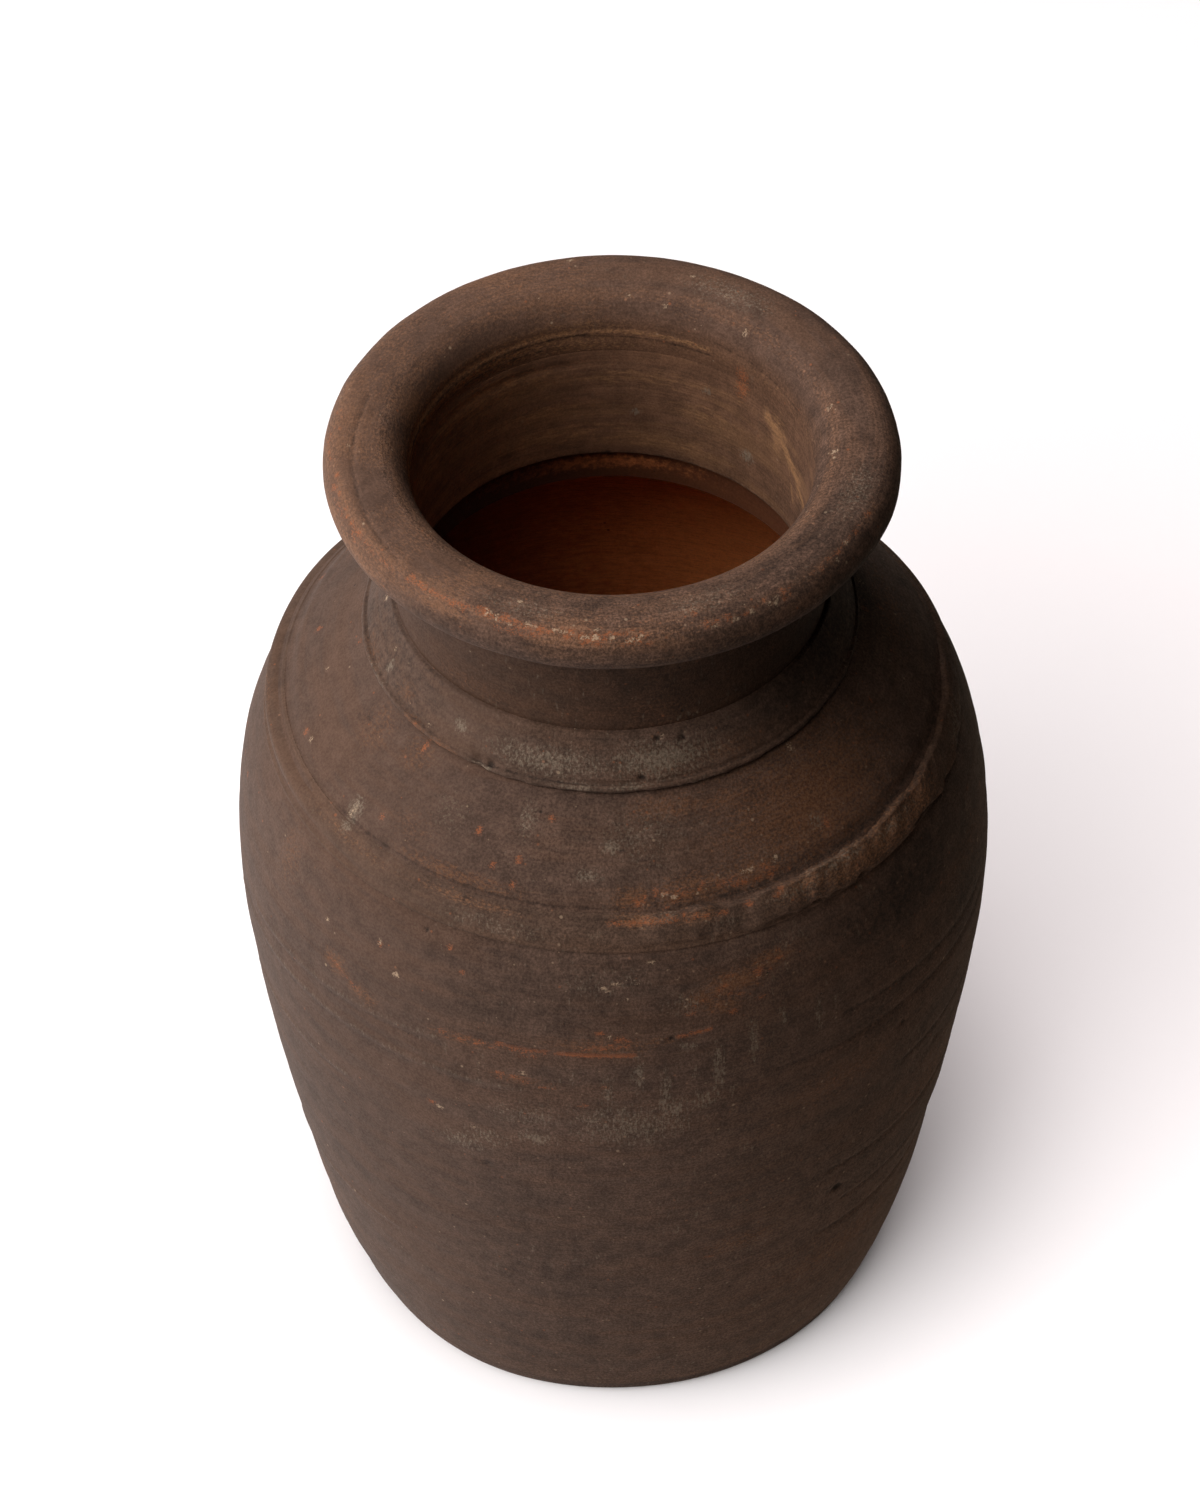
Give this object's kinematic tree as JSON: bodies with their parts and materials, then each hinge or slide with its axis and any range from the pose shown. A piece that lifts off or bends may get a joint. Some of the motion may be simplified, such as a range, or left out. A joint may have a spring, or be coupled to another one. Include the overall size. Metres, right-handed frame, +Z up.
{
  "type": "ceramic vase",
  "caption": "Round-bellied earthenware vase of luted clay sections, with a sloping shoulder, applied band, short hollow neck and heavy rolled rim. It stands on a flat foot and holds stems.",
  "frame": {"origin": "centre of the flat foot, on the surface that the vase stands on", "axes": "+Z up along the vase's axis, from the foot to the mouth; X and Y across it, the view of the picture looks along +Y"},
  "size_m": [0.2398, 0.2398, 0.3484],
  "materials": {
    "body_clay": "matte, smoke-fired, unglazed; bare terracotta inside",
    "band_clay": "matte, smoke-fired, unglazed, hand-pressed",
    "neck_clay": "matte, smoke-fired, unglazed",
    "rim_clay": "matte, smoke-fired, unglazed, worn on its outer edge"
  },
  "bodies": {
    "root": {"base_disc": "body_clay", "lower_wall": "body_clay", "belly_wall": "body_clay", "shoulder_wall": "body_clay", "shoulder_band": "band_clay", "neck_collar": "band_clay", "neck_wall": "neck_clay", "rim_ring": "rim_clay"}
  },
  "joints": []
}
